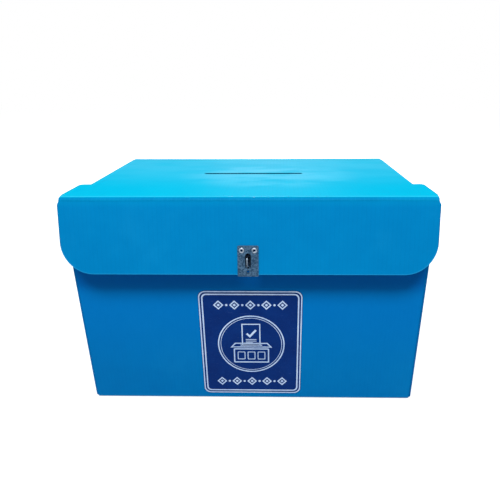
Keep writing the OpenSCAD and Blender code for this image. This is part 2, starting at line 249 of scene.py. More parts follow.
# %% [markdown]
# ## How far from the cut edge
# Along the flap's cut edge a paler line is painted, as the highlight where the edge catches the light. To
# paint it, the shader has to know how far a point is from the outline. A rectangle with round corners has a
# short formula for that: fold the point into one quarter, measure to the corner's centre, and take away the
# radius.

# %% Group: distance to the outline
def past_corner(w, along, half, radius):
    """How far a point lies past the centre of the corner's round, in one direction."""
    past_edge = w.math("SUBTRACT", w.math("ABSOLUTE", along), half)
    return w.math("ADD", past_edge, radius)


edge_distance, w, takes, gives = new_group(
    "edge distance",
    {"U": "FLOAT", "V": "FLOAT", "Half Width": "FLOAT", "Half Height": "FLOAT", "Radius": "FLOAT"},
    {"Inside": "FLOAT"})
past_u = past_corner(w, takes["U"], takes["Half Width"], takes["Radius"])
past_v = past_corner(w, takes["V"], takes["Half Height"], takes["Radius"])
round_part = w.length(w.math("MAXIMUM", past_u, 0.0), w.math("MAXIMUM", past_v, 0.0))
flat_part = w.math("MINIMUM", w.math("MAXIMUM", past_u, past_v), 0.0)
w.put(gives["Inside"], w.math("SUBTRACT", takes["Radius"], w.math("ADD", round_part, flat_part)))

# %% [markdown]
# ## Spot welds
# The left wall ends in a strip that is welded to the inside of the back wall. A round tool presses the two
# sheets together, and leaves a row of shallow dishes with a raised, paler rim. The row goes straight up, so
# the height is folded into one pitch and the distance to the middle of that pitch gives one dish after
# another.

# %% Group: spot welds
spot_welds, w, takes, gives = new_group(
    "spot welds", {"U": "FLOAT", "V": "FLOAT", "Pitch": "FLOAT", "Radius": "FLOAT"},
    {"Rim": "FLOAT", "Dish": "FLOAT"})
within = w.math("SUBTRACT", w.math("FRACT", w.math("DIVIDE", takes["V"], takes["Pitch"])), 0.5)
from_middle = w.math("MULTIPLY", within, takes["Pitch"])
share = w.math("DIVIDE", w.length(takes["U"], from_middle), takes["Radius"])
w.put(gives["Rim"], w.math("SUBTRACT", w.ramp(share, 0.78, 0.92), w.ramp(share, 0.98, 1.15)))
w.put(gives["Dish"], w.ramp(share, 0.5, 0.9, 1.0, 0.0))

# %% [markdown]
# ## Aged zinc
# Zinc from a hot bath freezes in flakes, and each flake catches the light at its own slant. After years the
# shine goes and dark specks stay. A Voronoi pattern makes the flakes and a noise makes the specks. The
# plate, the rivets and the staple each use this group with values of their own.

# %% Group: aged zinc
BLOTCH_SCALE, SPECK_SCALE, GRAIN_SCALE = 420.0, 900.0, 1500.0

aged_zinc, w, takes, gives = new_group(
    "aged zinc", {"Place": "VECTOR", "Flake": "FLOAT"},
    {"Tone": "FLOAT", "Specks": "FLOAT", "Height": "FLOAT"})
flake_scale = w.math("DIVIDE", 1.0, takes["Flake"])
flakes = w.node("ShaderNodeTexVoronoi", {"Vector": takes["Place"], "Scale": flake_scale})
flake_tone = w.split(flakes.outputs["Color"])[0]
blotches = w.noise(takes["Place"], BLOTCH_SCALE, 4.0, 0.65)
w.put(gives["Tone"], w.math("MULTIPLY_ADD", flake_tone, 0.45, w.math("MULTIPLY", blotches, 0.6)))
w.put(gives["Specks"], w.ramp(w.noise(takes["Place"], SPECK_SCALE, 3.0, 0.7), 0.56, 0.68))
w.put(gives["Height"], w.noise(takes["Place"], GRAIN_SCALE, 4.0, 0.7))

# %% [markdown]
# ## The blue plastics
# All panels are cut from the same blue sheet, but the lid is painted paler and greener, for the strong light
# that falls on the top. One function makes a sheet material: two close blues, the axis that its flutes lie
# across, and how strongly the ribs show. The plastic is waxy and old, so its reflection is weak and broad.
# Each panel can add marks of its own.

# %% The start and the end of every material
def start_material(name):
    made = bpy.data.materials.new(name)
    made.use_nodes = True
    made.node_tree.nodes.clear()
    w = Wiring(made.node_tree)
    output = w.node("ShaderNodeOutputMaterial")
    surface = w.node("ShaderNodeBsdfPrincipled")
    w.put(output.inputs["Surface"], surface.outputs[0])
    position = w.node("ShaderNodeTexCoord").outputs["Object"]
    print("material", name)
    return made, w, surface, position


def finish_colour(w, surface, colour, roughness, height, strength, distance):
    w.put(surface.inputs["Base Color"], colour)
    w.put(surface.inputs["Roughness"], roughness)
    bump = w.node("ShaderNodeBump", {"Strength": strength, "Distance": distance, "Height": height})
    w.put(surface.inputs["Normal"], bump.outputs[0])


def ribs_of(w, position, axis, first_rib=0.0):
    """The ribs of a skin. axis is 0 for flutes that lie across X, 1 for Y and 2 for Z."""
    values = {"Across": w.split(position)[axis], "First Rib": first_rib, "Wander": position}
    return place(w, fluted_skin, values)


# %% [markdown]
# The sheet's own material adds up in the order in which it came about: the plastic's two blues, the ribs
# that show through, the scuffs of years, and last the marks that only this one panel has.

# %% Sheet material
HAND_WIDE = 0.16
RIB_SHADE = 0.55
SCRATCHED_BLUE = (0.06, 0.50, 0.80, 1)
SKIN_BUMP, SKIN_DEPTH = 0.2, 0.12 * mm


def sheet_material(name, deep, light, across, first_rib, rib_show=0.06, gloss=0.02, rough=0.5, worn=0.0,
                   marked=None, dents=None):
    """across is the axis that the flutes lie across. marked, if given, takes the colour so far and gives it
    back with the panel's own marks, and dents gives a height that is taken off the skin."""
    made, w, surface, position = start_material(name)
    surface.inputs["Specular IOR Level"].default_value = gloss
    ribs = ribs_of(w, position, across, first_rib)
    cloud = place(w, uneven, {"Place": position, "Size": HAND_WIDE})["Value"]
    marks = place(w, scuffs, {"Place": position})
    colour = w.blend(w.ramp(cloud, 0.3, 0.7), (*deep, 1), (*light, 1))
    colour = w.blend(w.math("MULTIPLY", ribs["Rib"], rib_show), colour, (*[RIB_SHADE * c for c in deep], 1))
    faint = w.math("MULTIPLY_ADD", marks["Scratches"], 0.08, w.math("MULTIPLY", marks["Clouds"], 0.02))
    colour = w.blend(w.math("MULTIPLY", faint, 1 + 4 * worn), colour, SCRATCHED_BLUE)
    if marked:
        colour = marked(w, position, colour)
    roughness = w.math("MULTIPLY_ADD", cloud, 0.2, rough - 0.1)
    height = ribs["Height"]
    if dents:
        height = w.math("SUBTRACT", height, dents(w, position))
    finish_colour(w, surface, colour, roughness, height, SKIN_BUMP, SKIN_DEPTH)
    return made


# %% [markdown]
# ## Where the blue changes
# Each panel has marks of its own, some of them painted light and shade. The front flap leans out, so its own
# height is measured from its crease: the straight distance down from the crease's axis. With that and X, the
# outline formula finds the flap's cut edge, where a paler line is painted as the edge's highlight, and near
# the crease a paler band is painted as the highlight on the crease's rounding. The wall is bluer towards the
# top, and behind the flap it is painted a deeper blue, as the flap's shadow.

# %% Marks on the flap and on the wall behind it
flap_low, flap_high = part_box("front_flap")
crease_axis = Vector(next(j["pos_m"] for j in frame["joints"] if j["name"] == "flap_hinge"))
flap_reach = (Vector((0, flap_low.y, flap_low.z)) - Vector((0, crease_axis.y, crease_axis.z))).length
FLAP_CORNER = 37 * mm
PAINTED_EDGE_HIGHLIGHT_BLUE = (0.03, 0.42, 0.78, 1)
CREASE_HIGHLIGHT_BLUE = (0.0, 0.36, 0.64, 1)
CREASE_HIGHLIGHT_REACH = (3.5 * mm, 12 * mm)
UPPER_BLUE, PAINTED_FLAP_SHADOW_BLUE = (0.0, 0.183, 0.56, 1), (0.0, 0.115, 0.46, 1)
UPPER_BLUE_HEIGHTS, PAINTED_FLAP_SHADOW_HEIGHTS = (20 * mm, 150 * mm), (158 * mm, 178 * mm)
FLAP_EDGE_DARK, LID_EDGE_DARK = (0.0, 0.08, 0.18, 1), (0.0, 0.2, 0.3, 1)


def dark_side_edges(w, x, half_width, colour, dark):
    """A thin darker line along the two side edges."""
    near_edge = w.ramp(w.math("ABSOLUTE", x), half_width - 1.4 * mm, half_width - 0.2 * mm, 0.0, 0.5)
    return w.blend(near_edge, colour, dark)


def flap_edge_marks(w, position, colour):
    x, y, z = w.split(position)
    back = w.math("SUBTRACT", y, crease_axis.y)
    down = w.math("SUBTRACT", z, crease_axis.z)
    reach = w.length(back, down)
    outline = {"Half Width": flap_high.x, "Half Height": flap_reach, "Radius": FLAP_CORNER}
    inside = place(w, edge_distance, {"U": x, "V": reach, **outline})["Inside"]
    lower_part = w.ramp(reach, flap_reach - FLAP_CORNER, flap_reach - 0.5 * FLAP_CORNER)
    # Painted highlight: a paler line along the lower cut edge, where the edge catches the light.
    painted_edge_highlight = w.math("MULTIPLY", w.ramp(inside, 0.5 * mm, 2.2 * mm, 0.5, 0.0), lower_part)
    colour = w.blend(painted_edge_highlight, colour, PAINTED_EDGE_HIGHLIGHT_BLUE)
    # Painted highlight: a paler band just below the crease, where the sheet rounds over towards the light.
    colour = w.blend(w.ramp(reach, *CREASE_HIGHLIGHT_REACH, 0.18, 0.0), colour, CREASE_HIGHLIGHT_BLUE)
    return dark_side_edges(w, x, flap_high.x, colour, FLAP_EDGE_DARK)


def bluer_top_and_painted_flap_shadow(w, position, colour):
    """The wall is bluer towards the top, and behind the flap it is painted a deeper blue, as the flap's
    shadow.
    """
    height = w.split(position)[2]
    # Bluer towards the top.
    colour = w.blend(w.ramp(height, *UPPER_BLUE_HEIGHTS, 0.0, 0.8), colour, UPPER_BLUE)
    # Painted shadow: behind the flap the wall is painted a deeper blue, as the shade that the flap casts.
    return w.blend(w.ramp(height, *PAINTED_FLAP_SHADOW_HEIGHTS, 0.0, 0.75), colour, PAINTED_FLAP_SHADOW_BLUE)


print("flap reaches", round(flap_reach / mm, 1), "mm from its axis")

# %% [markdown]
# The lid's upper skin alone takes its paler blue, painted for the strong light on the top, so the height
# decides where that blue ends. Towards the back a paler blue is painted, as a reflection, and a pale haze
# lies around the slot, where hands and papers have worn it, with a painted sheen besides. A thin paler line
# along the front crease is a painted highlight.

# %% Marks on the lid
lid_low, lid_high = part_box("lid_panel")
RUBBED_AND_LIT_MIDDLE, RUBBED_AND_LIT_REACH = (22 * mm, -12 * mm), (115 * mm, 70 * mm)
PAINTED_REFLECTION_REACH = (-90 * mm, 70 * mm)
HAZE_BLUE = (0.16, 0.635, 0.87, 1)
UNDERSIDE_BLUE = (0.0, 0.194, 0.524, 1)


def lid_marks(w, position, colour):
    x, y, z = w.split(position)
    along = w.math("DIVIDE", w.math("SUBTRACT", x, RUBBED_AND_LIT_MIDDLE[0]), RUBBED_AND_LIT_REACH[0])
    across = w.math("DIVIDE", w.math("SUBTRACT", y, RUBBED_AND_LIT_MIDDLE[1]), RUBBED_AND_LIT_REACH[1])
    near_slot = w.ramp(w.square_sum(along, across), 0.05, 1.3, 1.0, 0.0)
    patchy = w.ramp(w.noise(w.stretched(position, (0.55, 1.3, 1.0)), 21.0, 3.0, 0.5), 0.36, 0.6)
    # Worn plastic and painted sheen: a pale haze around the slot.
    rubbed_and_lit = w.math("MULTIPLY", w.math("MULTIPLY", near_slot, patchy), 0.3)
    to_back = w.ramp(y, *PAINTED_REFLECTION_REACH, 0.0, 0.2)
    # Painted reflection: paler towards the back.
    painted_reflection = w.math("MULTIPLY", to_back, w.math("MULTIPLY_ADD", patchy, 0.45, 0.7))
    # Painted highlight: a thin paler line along the front crease.
    crease_highlight = w.ramp(y, lid_low.y + 1.0 * mm, lid_low.y + 3.5 * mm, 0.16, 0.0)
    haze = w.math("ADD", w.math("ADD", rubbed_and_lit, painted_reflection), crease_highlight)
    colour = w.blend(haze, colour, HAZE_BLUE)
    colour = dark_side_edges(w, x, lid_high.x, colour, LID_EDGE_DARK)
    # Painted top light: the upper skin takes the lid's paler, greener blue, and the underside keeps the
    # sheet's own blue.
    painted_top_light = w.ramp(z, lid_high.z - 1.5 * mm, lid_high.z - 0.5 * mm)
    return w.blend(painted_top_light, UNDERSIDE_BLUE, colour)


print("lid from", round(lid_low.y / mm), "to", round(lid_high.y / mm), "mm")

# %% [markdown]
# The welded seam shows on the outer skin of the back wall alone. The place across the sheet tells outer
# from inner skin, so the welds fade out between the back wall's two faces.

# %% Marks on the back wall
back_low, back_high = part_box("back_panel")
seam_low, seam_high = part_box("seam_flap")
weld_x = (seam_low.x + seam_high.x) / 2
WELD_PITCH, WELD_RADIUS = 55 * mm, 5 * mm
DENT_DEPTH = 5.0
WELD_RIM_BLUE = (0.02, 0.32, 0.66, 1)


def welds(w, position, output):
    """One output of the welds' group, on the outer skin of the back wall alone."""
    x, y, z = w.split(position)
    behind = w.ramp(y, back_low.y, back_high.y)
    off_row = w.math("SUBTRACT", x, weld_x)
    row = place(w, spot_welds, {"U": off_row, "V": z, "Pitch": WELD_PITCH, "Radius": WELD_RADIUS})
    return w.math("MULTIPLY", row[output], behind)


def weld_dents(w, position):
    return w.math("MULTIPLY", welds(w, position, "Dish"), DENT_DEPTH)


def weld_marks(w, position, colour):
    return w.blend(w.math("MULTIPLY", welds(w, position, "Rim"), 0.3), colour, WELD_RIM_BLUE)


print("welds at", round(weld_x / mm), "mm")

# %% [markdown]
# Six sheets share one recipe. The walls have the same pair of blues and differ in their marks and in the
# way that their flutes run. The flap is a little paler, painted light for the light that its outward lean
# catches from above. The lid's paler, greener blues are painted light for the strong light on the top, and
# the lid is the dullest, so that no lamp mirrors in it.

# %% The blues in use
wall_deep, wall_light = (0.0, 0.172, 0.486), (0.0, 0.194, 0.524)
bottom_sheet = sheet_material("blue sheet, bottom", wall_deep, wall_light, 0, 0.0)
front_sheet = sheet_material("blue sheet, front", wall_deep, wall_light, 0, 0.0, marked=bluer_top_and_painted_flap_shadow)
back_sheet = sheet_material("blue sheet, welded back", wall_deep, wall_light, 0, 0.0, marked=weld_marks,
                            dents=weld_dents)
side_sheet = sheet_material("blue sheet, sides", wall_deep, wall_light, 1, RIB_PITCH / 2)
# The flap's blues are paler than the walls': painted light, for the light that its outward lean catches from
# above.
flap_sheet = sheet_material("blue sheet, front flap", (0.0, 0.205, 0.505), (0.0, 0.230, 0.545), 0,
                            RIB_PITCH / 2, rib_show=0.07, marked=flap_edge_marks)
# The lid's paler, greener blues are painted light, for the strong light on the top.
lid_sheet = sheet_material("blue sheet, lid, painted top light", (0.0, 0.43, 0.675), (0.0, 0.46, 0.70), 0, RIB_PITCH / 2,
                           rib_show=0.05, gloss=0.003, rough=0.62, worn=0.1, marked=lid_marks)

# %% [markdown]
# ## Creased plastic
# Where the sheet is pressed into a fold its ribs are crushed and the skin is stretched, with a faint paler
# ripple where each rib was. The corner folds are painted darker, as the shade on their rounding. The lid's
# creases run from one blue into another, so they can take two heights between which the lid's paler blue,
# painted top light, takes over.

# %% Fold material
FINGER_WIDE = 0.05
RIPPLE_BLUE = (0.02, 0.36, 0.66, 1)
LID_TOP_LIGHT_BLUE = (0.0, 0.45, 0.69, 1)
FOLD_BUMP, FOLD_DEPTH = 0.25, 0.1 * mm


def fold_material(name, deep, light, across, gloss=0.04, lid_top_light_heights=None):
    """The last argument gives the two heights between which the fold takes on the lid's paler blue, the
    painted light of the top.
    """
    made, w, surface, position = start_material(name)
    surface.inputs["Specular IOR Level"].default_value = gloss
    ribs = ribs_of(w, position, across)
    cloud = place(w, uneven, {"Place": position, "Size": FINGER_WIDE})["Value"]
    colour = w.blend(w.ramp(cloud, 0.35, 0.65), (*deep, 1), (*light, 1))
    colour = w.blend(w.math("MULTIPLY", ribs["Rib"], 0.10), colour, RIPPLE_BLUE)
    if lid_top_light_heights:
        # Painted top light: near the top the fold takes the lid's paler blue.
        colour = w.blend(w.ramp(w.split(position)[2], *lid_top_light_heights), colour, LID_TOP_LIGHT_BLUE)
    roughness = w.math("MULTIPLY_ADD", cloud, 0.2, 0.36)
    finish_colour(w, surface, colour, roughness, ribs["Height"], FOLD_BUMP, FOLD_DEPTH)
    return made


lid_top = lid_high.z
# Painted shade: the corner folds are a darker blue, for the shade on their rounding.
shaded_corner_fold = fold_material("pressed corner, painted shade", (0.0, 0.12, 0.36), (0.0, 0.15, 0.43), 2, gloss=0.01)
rim_fold = fold_material("pressed rim", (0.0, 0.20, 0.52), (0.0, 0.24, 0.58), 1)
front_crease_fold = fold_material("pressed front crease", (0.0, 0.205, 0.455), (0.0, 0.235, 0.50), 0,
                                  gloss=0.01, lid_top_light_heights=(lid_top - 0.7 * mm, lid_top - 0.1 * mm))
lid_crease_fold = fold_material("pressed lid crease", (0.01, 0.28, 0.48), (0.02, 0.34, 0.55), 0,
                                lid_top_light_heights=(lid_top - 1.2 * mm, lid_top - 0.1 * mm))
tuck_crease_fold = fold_material("pressed tuck crease", (0.0, 0.17, 0.34), (0.0, 0.21, 0.40), 1, gloss=0.01,
                                 lid_top_light_heights=(lid_top - 1.2 * mm, lid_top - 0.2 * mm))

# %% [markdown]
# The panels are already in the scene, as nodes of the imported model. A table of materials and names gives
# each its finish, and their shapes stay untouched.

# %% Give the panels their finish
SHEET_OF = {
    bottom_sheet: ["seam_flap", "bottom_panel", "bottom_tuck_flap"],
    front_sheet: ["front_panel"],
    back_sheet: ["back_panel"],
    side_sheet: ["left_panel", "right_panel", "left_hem", "right_hem", "left_dust_flap",
                 "right_dust_flap", "left_tuck_flap", "right_tuck_flap"],
    flap_sheet: ["front_flap"],
    lid_sheet: ["lid_panel"],
    shaded_corner_fold: ["front_left_fold", "front_right_fold", "back_right_fold", "seam_fold"],
    rim_fold: ["left_rim", "right_rim", "left_dust_fold", "right_dust_fold", "bottom_front_fold",
               "bottom_back_fold"],
}


def give(obj, material):
    obj.data.materials.clear()
    obj.data.materials.append(material)


for material, names in SHEET_OF.items():
    for name in names:
        give(nodes[name], material)
print("panels finished:", sum(len(names) for names in SHEET_OF.values()))

# %% [markdown]
# ## Creases that bend
# Four creases swing. Each crease is a thin curved strip, and its points can turn about the crease's axis by
# a share that grows from its one edge to its other, so that the strip meets a panel that is turned out at
# rest.
# The strip is a quarter ring in section. Along its length it swells a little at each crushed flute, which is
# a ripple that only real geometry shows at the outline.

# %% The section of a crease
SHEET = 4 * mm
CRUSHED = 1.2 * mm
THICKER_AT_EDGE = 0.5
CREASE_GAP = 0.35 * mm
STEPS_ROUND = 10


def crease_section():
    """Points of the quarter ring, from (+1, 0) round to (0, +1), each with its share of the swell."""
    outer, inner = [], []
    for i in range(STEPS_ROUND + 1):
        angle = math.radians(90) * i / STEPS_ROUND
        thick = CRUSHED * (1 + THICKER_AT_EDGE * abs(math.cos(2 * angle)))
        swell = math.sin(2 * angle)
        outer.append((SHEET * math.cos(angle), SHEET * math.sin(angle), swell))
        inner.append(((SHEET - thick) * math.cos(angle), (SHEET - thick) * math.sin(angle), 0.0))
    tail = [(x - CREASE_GAP, y, 0.0) for x, y, _ in (outer[-1], inner[-1])]
    return outer + tail + inner[::-1]


print("points round a crease:", len(crease_section()))

# %% The strip along a crease
RIPPLE = 0.06 * mm
RINGS_A_RIB = 4


def new_piece(name, data, material):
    made = bpy.data.objects.new(name, data)
    bpy.context.scene.collection.objects.link(made)
    give(made, material)
    return made


def crease_strip(name, corner, first, second, along, length, material):
    """corner is the fold's inner corner where the strip starts; first and second point to its two faces."""
    mesh = bmesh.new()
    section = crease_section()
    count = max(2, round(length / (RIB_PITCH / RINGS_A_RIB)))
    sections = []
    for i in range(count + 1):
        way = length * i / count
        ripple = RIPPLE * (math.cos(2 * math.pi * way / RIB_PITCH) - 1)
        points = []
        for x, y, swell in section:
            grow = 1 + ripple * swell / SHEET
            points.append(mesh.verts.new(corner + along * way + first * x * grow + second * y * grow))
        sections.append(points)
    for a, b in zip(sections, sections[1:]):
        for j in range(len(section)):
            k = (j + 1) % len(section)
            mesh.faces.new((a[j], a[k], b[k], b[j]))
    mesh.faces.new(sections[0][::-1])
    mesh.faces.new(sections[-1])
    bmesh.ops.recalc_face_normals(mesh, faces=mesh.faces)
    data = bpy.data.meshes.new(name)
    mesh.to_mesh(data)
    mesh.free()
    for face in data.polygons:
        face.use_smooth = len(face.vertices) == 4
    print(name, len(data.vertices), "points,", round(length / mm), "mm long")
    return new_piece(name, data, material)


# %% [markdown]
# The bend itself is a rule about points. A point near one edge stays where it is, a point near the other
# edge turns by the whole lean, and between them the share grows smoothly. The bend starts and ends just
# inside the line that joins the outer corners of the strip's section.

# %% The bend over a joint
BENDING_SHARE = 0.47


def bend_over_joint(strip, node, corner, first, second, lean=0.0):
    """Between its two edges the strip turns by a growing share of lean, from none at its first edge to all
    of it at its second.
    lean is the angle by which the second body's panel is already turned out at rest, about the crease's
    axis."""
    middle = corner + (first + second) * SHEET / 2
    half = (second - first) * SHEET * BENDING_SHARE
    start, span = middle - half, 2 * half
    for vertex in strip.data.vertices:
        way = min(1.0, max(0.0, (vertex.co - start).dot(span) / span.length_squared))
        turned_by = Matrix.Rotation(-lean * way * way * (3 - 2 * way), 3, "X")
        vertex.co = crease_axis + turned_by @ (vertex.co - crease_axis)
    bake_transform(strip)
    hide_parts(node)


right, back, up = Vector((1, 0, 0)), Vector((0, 1, 0)), Vector((0, 0, 1))

low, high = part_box("lid_crease")
corner = Vector((low.x, low.y, low.z))
strip = crease_strip("lid_crease_strip", corner, back, up, right, high.x - low.x, lid_crease_fold)
bend_over_joint(strip, "lid_crease", corner, back, up)

# %% [markdown]
# The front crease starts at the lid and ends at the flap. The flap leans out by 12 degrees when the box is
# left alone, so the strip's last edge is turned out by as much, and meets the flap's upper edge without a
# step. The two tuck flaps hang straight down, so their creases need no lean.

# %% The front crease and the tuck flaps' creases
flap_lean = math.radians(12)
low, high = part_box("flap_crease")
corner = Vector((low.x, high.y, low.z))
strip = crease_strip("flap_crease_strip", corner, up, -back, right, high.x - low.x, front_crease_fold)
bend_over_joint(strip, "flap_crease", corner, up, -back, lean=flap_lean)

for side, name in ((-1, "left"), (1, "right")):
    low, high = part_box(f"{name}_tuck_crease")
    inner = low.x if side > 0 else high.x
    corner = Vector((inner, low.y, low.z))
    strip = crease_strip(f"{name}_tuck_crease_strip", corner, up, side * right, back, high.y - low.y,
                         tuck_crease_fold)
    bend_over_joint(strip, f"{name}_tuck_crease", corner, up, side * right)

# %% [markdown]
# ## Flat pieces with round edges
# The hasp, the label's film and its printed shapes are all flat pieces cut from an outline. A Blender curve
# that is filled, thickened and bevelled makes such a piece at once: the first loop is the outside, the
# others are holes. It is turned into a mesh at the end, so that the piece is a plain mesh like the rest.

# %% Outlines, in millimetres
def arc(x, y, r, start, end, steps=10):
    """Points of an arc round (x, y), angles in degrees."""
    angles = [math.radians(start + (end - start) * i / steps) for i in range(steps + 1)]
    return [(x + r * math.cos(a), y + r * math.sin(a)) for a in angles]


def ring(x, y, r, steps=40):
    return arc(x, y, r, 0, 360, steps)[:-1]


def round_box(w, h, r, x=0.0, y=0.0):
    a, b = w / 2 - r, h / 2 - r
    corners = ((a, b, 0), (-a, b, 90), (-a, -b, 180), (a, -b, 270))
    return [p for cx, cy, start in corners for p in arc(x + cx, y + cy, r, start, start + 90)]


def long_hole(w, h, x, y):
    a = (h - w) / 2
    return arc(x, y + a, w / 2, 0, 180, 14) + arc(x, y - a, w / 2, 180, 360, 14)


print("points of a round box:", len(round_box(2, 1, 0.1)))

# %% [markdown]
# The bevel makes the piece bigger by its own depth, so the outline is first drawn in by as much and keeps
# its size. Where the flat face meets the bevel, points lie twice in one place, and those are merged.

# %% From outlines to a flat piece
SAME_POINT = 0.002 * mm


def flat_piece(name, loops, thick, edge, to_place, material):
    """A plate of the given outlines, in millimetres, that stands on Z = 0 and is then moved by to_place."""
    curve = bpy.data.curves.new(name, "CURVE")
    curve.dimensions, curve.fill_mode = "2D", "BOTH"
    curve.extrude = (thick / 2 - edge) * mm
    curve.bevel_depth = edge * mm
    curve.bevel_resolution = 2
    curve.offset = -edge * mm
    for loop in loops:
        spline = curve.splines.new("POLY")
        spline.points.add(len(loop) - 1)
        spline.use_cyclic_u = True
        for point, (x, y) in zip(spline.points, loop):
            point.co = (x * mm, y * mm, 0, 1)
    raw = bpy.data.objects.new(name + "_outline", curve)
    bpy.context.scene.collection.objects.link(raw)
    bpy.context.view_layer.update()
    data = bpy.data.meshes.new_from_object(raw.evaluated_get(bpy.context.evaluated_depsgraph_get()))
    bpy.data.objects.remove(raw)
    data.name = name
    data.transform(to_place @ Matrix.Translation((0, 0, thick / 2 * mm)))
    cleaner = bmesh.new()
    cleaner.from_mesh(data)
    bmesh.ops.remove_doubles(cleaner, verts=cleaner.verts, dist=SAME_POINT)
    bmesh.ops.recalc_face_normals(cleaner, faces=cleaner.faces)
    cleaner.to_mesh(data)
    cleaner.free()
    return new_piece(name, data, material)


# %% [markdown]
# ## Zinc parts
# The plate is dull, mottled zinc. It isn't a mirror: its roughness is high and dark specks break it up. The
# rivets have kept their shine. The staple is painted nearly black, as the shade behind the plate, apart from
# its blade, which is lighter: worn bright by the padlock and the plate, and painted lit where it stands out
# into the light. Metals get their colour from what they reflect, so the base colour of the plate is a cool,
# rather dark grey, the way old zinc looks beside blue plastic.

# %% Zinc materials
BLADE_WORN_AND_LIT_ZINC = (0.24, 0.31, 0.38, 1)
GRAIN_BUMP, GRAIN_DEPTH = 0.35, 0.05 * mm


def zinc_material(name, dark, bright, flake, specks, rough, rubbed_and_lit=None):
    """The last argument gives the two places along Y between which the painted shade gives way to the
    blade's lighter zinc, worn bright by the padlock and the hasp and painted lit where the blade stands out."""
    made, w, surface, position = start_material(name)
    surface.inputs["Metallic"].default_value = 0.85
    zinc = place(w, aged_zinc, {"Place": position, "Flake": flake})
    colour = w.blend(w.ramp(zinc["Tone"], 0.25, 0.8), (*dark, 1), (*bright, 1))
    colour = w.blend(w.math("MULTIPLY", zinc["Specks"], specks), colour, (*[0.35 * c for c in dark], 1))
    if rubbed_and_lit:
        start, end = rubbed_and_lit
        forward = w.math("MULTIPLY", w.split(position)[1], -1.0)
        colour = w.blend(w.ramp(forward, -start, -end), colour, BLADE_WORN_AND_LIT_ZINC)
    roughness = w.math("MULTIPLY_ADD", zinc["Tone"], 0.25, rough - 0.1)
    finish_colour(w, surface, colour, roughness, zinc["Height"], GRAIN_BUMP, GRAIN_DEPTH)
    return made


plate_zinc = zinc_material("dull mottled zinc", (0.012, 0.042, 0.085), (0.065, 0.135, 0.225), 1.6 * mm,
                           0.75, 0.5)
bright_zinc = zinc_material("bright zinc", (0.10, 0.15, 0.21), (0.38, 0.44, 0.52), 2.4 * mm, 0.4, 0.3)
foot_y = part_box("staple")[1].y
# Painted shade: the staple is nearly black behind the plate; only its blade is a lighter zinc, worn and
# painted lit.
staple_zinc = zinc_material("staple zinc, painted shade, lighter blade", (0.004, 0.012, 0.022), (0.016, 0.035, 0.06),
                            2.0 * mm, 0.6, 0.5, rubbed_and_lit=(foot_y - 4 * mm, foot_y - 9 * mm))
for name in ("hasp_washers", "staple_washers", "staple_rivets"):
    give(nodes[name], plate_zinc)
give(nodes["staple"], staple_zinc)

# %% [markdown]
# ## The hasp plate
# The plate is punched from sheet steel, and the punch rounds its edge slightly. It lies in the flap's own
# plane, which leans out, so it is placed with the flap upright and then turned about the crease's axis.

# %% The hasp plate
HASP_W, HASP_H, HASP_T = 24.0, 36.0, 1.2
HASP_CORNER, HASP_EDGE = 1.5, 0.25
HASP_TOP_Z, FLAP_FACE_Y = 229.5, -124.0
SLOT_W, SLOT_H, SLOT_UP = 6.5, 18.3, -0.1
SEAL_R, SEAL_UP = 1.5, -12.0
RIVET_HOLE_R, RIVET_HALF_GAP, RIVET_UP = 2.05, 7.25, 12.5

lean_turn = Matrix.Translation(crease_axis) @ Matrix.Rotation(-flap_lean, 4, "X")
hasp_middle = Vector((0, FLAP_FACE_Y, HASP_TOP_Z - HASP_H / 2)) * mm
from_axis = hasp_middle - Vector((0, crease_axis.y, crease_axis.z))
upright = Matrix.Rotation(math.radians(90), 4, "X")
hasp_place = lean_turn @ Matrix.Translation(from_axis) @ upright
rivet_centres = [(-RIVET_HALF_GAP, RIVET_UP), (RIVET_HALF_GAP, RIVET_UP)]
hasp_loops = [round_box(HASP_W, HASP_H, HASP_CORNER), long_hole(SLOT_W, SLOT_H, 0, SLOT_UP),
              ring(0, SEAL_UP, SEAL_R)] + [ring(x, y, RIVET_HOLE_R) for x, y in rivet_centres]
plate = flat_piece("hasp_plate_zinc", hasp_loops, HASP_T, HASP_EDGE, hasp_place, plate_zinc)
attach(plate, "flap")
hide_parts("hasp_plate")
print("hasp plate", HASP_W, "by", HASP_H, "mm")

# %% [markdown]
# ## Rolled rivets
# A hollow rivet is a little tube whose end is rolled over, so from the front it is a bright ring with a dark
# hole. A profile is drawn once and turned about its axis. Real rivets differ a little, but at this size one
# profile does.

# %% Turned pieces
def turned(name, profile, centres, to_place, material):
    """profile is a closed line of radii and heights, in millimetres, turned about each of the centres."""
    steps = 40
    mesh = bmesh.new()
    for cx, cy in centres:
        columns = []
        for i in range(steps):
            a = 2 * math.pi * i / steps
            spots = [Vector((cx + r * math.cos(a), cy + r * math.sin(a), z)) * mm for r, z in profile]
            columns.append([mesh.verts.new(to_place @ spot) for spot in spots])
        for i in range(steps):
            one, two = columns[i], columns[(i + 1) % steps]
            for j in range(len(profile)):
                k = (j + 1) % len(profile)
                mesh.faces.new((one[j], two[j], two[k], one[k]))
    bmesh.ops.recalc_face_normals(mesh, faces=mesh.faces)
    data = bpy.data.meshes.new(name)
    mesh.to_mesh(data)
    mesh.free()
    data.shade_smooth()
    return new_piece(name, data, material)


# %% [markdown]
# The profile runs over the rolled head, down the hollow, round the end that was set behind the washer, and
# back up the shank. The set end has to reach through the plate, the sheet and the washer.

